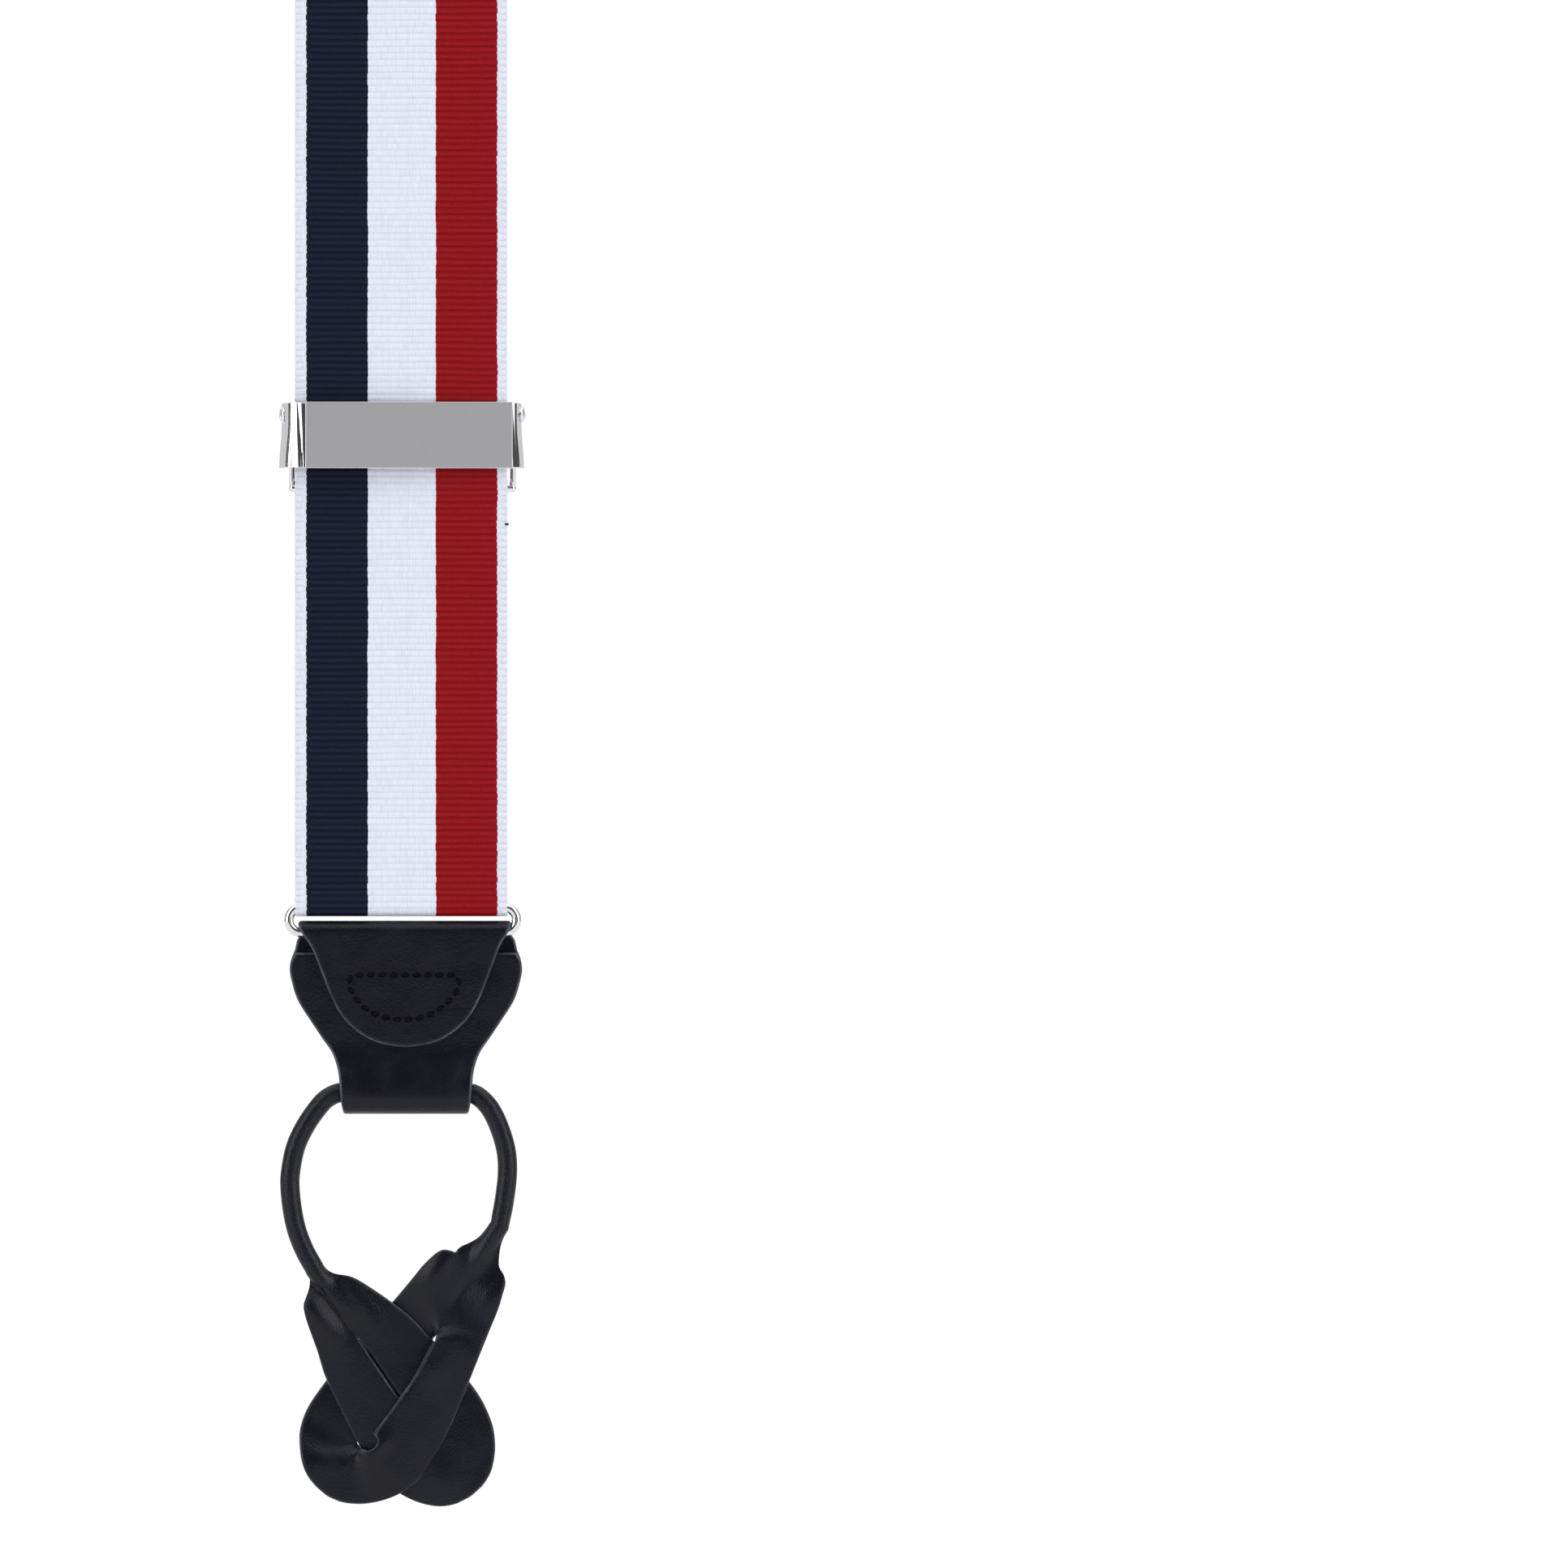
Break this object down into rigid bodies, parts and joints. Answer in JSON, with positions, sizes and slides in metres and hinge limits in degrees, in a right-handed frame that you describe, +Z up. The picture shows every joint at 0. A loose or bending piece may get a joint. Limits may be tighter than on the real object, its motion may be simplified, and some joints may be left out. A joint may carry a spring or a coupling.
{
  "type": "button-on dress suspenders",
  "caption": "Y-back dress suspenders: striped ribbon straps, chrome slide adjusters and wire rings, leather button ends with laced slotted ears, leather yoke and elastic back strap.",
  "frame": {"origin": "underside of the two straps at the top of the rest, on the symmetry plane, midway between the front and the back run", "axes": "+Z up, -Y the front of the pair (the two front ends), +X to the viewer's right looking at the front; the pair hangs down -Z"},
  "size_m": [0.1638, 0.0638, 0.6906],
  "materials": {
    "ribbon": "ribbed grosgrain weave, navy, white and red lengthwise stripes",
    "elastic": "ribbed black elastic webbing",
    "leather": "smooth black calf, paler cut edges",
    "chrome": "bright plated"
  },
  "bodies": {
    "root": {"strap_right": "ribbon", "strap_left": "ribbon", "yoke_outer": "leather", "yoke_inner": "leather", "rear_elastic": "elastic"},
    "adjuster_right": {"adjuster_plate_right": "chrome", "adjuster_pin_right": "chrome"},
    "lever_right": {"adjuster_lever_right": "chrome"},
    "bail_right": {"adjuster_bail_right": "chrome"},
    "loop_right": {"strap_loop_right": "ribbon"},
    "ring_right": {"ring_right": "chrome"},
    "leather_right": {"leather_end_right": "leather"},
    "ears_right": {"ear_strap_right": "leather"},
    "adjuster_left": {"adjuster_plate_left": "chrome", "adjuster_pin_left": "chrome"},
    "lever_left": {"adjuster_lever_left": "chrome"},
    "bail_left": {"adjuster_bail_left": "chrome"},
    "loop_left": {"strap_loop_left": "ribbon"},
    "ring_left": {"ring_left": "chrome"},
    "leather_left": {"leather_end_left": "leather"},
    "ears_left": {"ear_strap_left": "leather"},
    "rear_end": {"rear_loop": "elastic"},
    "ring_rear": {"ring_rear": "chrome"},
    "leather_rear": {"leather_end_rear": "leather"},
    "ears_rear": {"ear_strap_rear": "leather"}
  },
  "joints": [
    {"name": "adjuster_slide_right", "type": "slide", "parent": "root", "child": "adjuster_right", "axis": [0, 0, 1], "range_m": [-0.08, 0.16], "deforming": ["strap_right"]},
    {"name": "lever_hinge_right", "type": "hinge", "parent": "adjuster_right", "child": "lever_right", "pos_m": [0.06, -0.0277, -0.4954], "axis": [1, 0, 0], "range_deg": [0, 100]},
    {"name": "bail_hinge_right", "type": "hinge", "parent": "adjuster_right", "child": "bail_right", "pos_m": [0.06, -0.0264, -0.5026], "axis": [1, 0, 0], "range_deg": [-8, 8]},
    {"name": "loop_slide_right", "type": "slide", "parent": "adjuster_right", "child": "loop_right", "axis": [0, 0, 1], "range_m": [-0.08, 0.04], "deforming": ["strap_loop_right"]},
    {"name": "ring_hinge_right", "type": "hinge", "parent": "loop_right", "child": "ring_right", "pos_m": [0.0603, -0.02885, -0.5832], "axis": [1, 0, 0], "range_deg": [-50, 50]},
    {"name": "leather_hinge_right", "type": "hinge", "parent": "ring_right", "child": "leather_right", "pos_m": [0.06095, -0.02885, -0.5876], "axis": [1, 0, 0], "range_deg": [-50, 50]},
    {"name": "ears_hinge_right", "type": "hinge", "parent": "leather_right", "child": "ears_right", "pos_m": [0.06095, -0.02797, -0.6164], "axis": [1, 0, 0], "range_deg": [-50, 50]},
    {"name": "adjuster_slide_left", "type": "slide", "parent": "root", "child": "adjuster_left", "axis": [0, 0, 1], "range_m": [-0.08, 0.16], "deforming": ["strap_left"]},
    {"name": "lever_hinge_left", "type": "hinge", "parent": "adjuster_left", "child": "lever_left", "pos_m": [-0.06, -0.0277, -0.4954], "axis": [1, 0, 0], "range_deg": [0, 100]},
    {"name": "bail_hinge_left", "type": "hinge", "parent": "adjuster_left", "child": "bail_left", "pos_m": [-0.06, -0.0264, -0.5026], "axis": [1, 0, 0], "range_deg": [-8, 8]},
    {"name": "loop_slide_left", "type": "slide", "parent": "adjuster_left", "child": "loop_left", "axis": [0, 0, 1], "range_m": [-0.08, 0.04], "deforming": ["strap_loop_left"]},
    {"name": "ring_hinge_left", "type": "hinge", "parent": "loop_left", "child": "ring_left", "pos_m": [-0.0597, -0.02885, -0.5832], "axis": [1, 0, 0], "range_deg": [-50, 50]},
    {"name": "leather_hinge_left", "type": "hinge", "parent": "ring_left", "child": "leather_left", "pos_m": [-0.05905, -0.02885, -0.5876], "axis": [1, 0, 0], "range_deg": [-50, 50]},
    {"name": "ears_hinge_left", "type": "hinge", "parent": "leather_left", "child": "ears_left", "pos_m": [-0.05905, -0.02797, -0.6164], "axis": [1, 0, 0], "range_deg": [-50, 50]},
    {"name": "rear_stretch", "type": "slide", "parent": "root", "child": "rear_end", "axis": [0, 0, -1], "range_m": [0, 0.04], "stiffness_N_per_m": 500, "springref_m": -0.001, "deforming": ["rear_elastic"]},
    {"name": "ring_hinge_rear", "type": "hinge", "parent": "rear_end", "child": "ring_rear", "pos_m": [-0.0003, 0.02885, -0.293], "axis": [1, 0, 0], "range_deg": [-50, 50]},
    {"name": "leather_hinge_rear", "type": "hinge", "parent": "ring_rear", "child": "leather_rear", "pos_m": [-0.00095, 0.02885, -0.2974], "axis": [1, 0, 0], "range_deg": [-50, 50]},
    {"name": "ears_hinge_rear", "type": "hinge", "parent": "leather_rear", "child": "ears_rear", "pos_m": [-0.00095, 0.02797, -0.3262], "axis": [1, 0, 0], "range_deg": [-50, 50]}
  ],
  "couplings": [
    {"joint": "loop_slide_right", "follows": "adjuster_slide_right", "ratio": -0.5},
    {"joint": "loop_slide_left", "follows": "adjuster_slide_left", "ratio": -0.5}
  ]
}
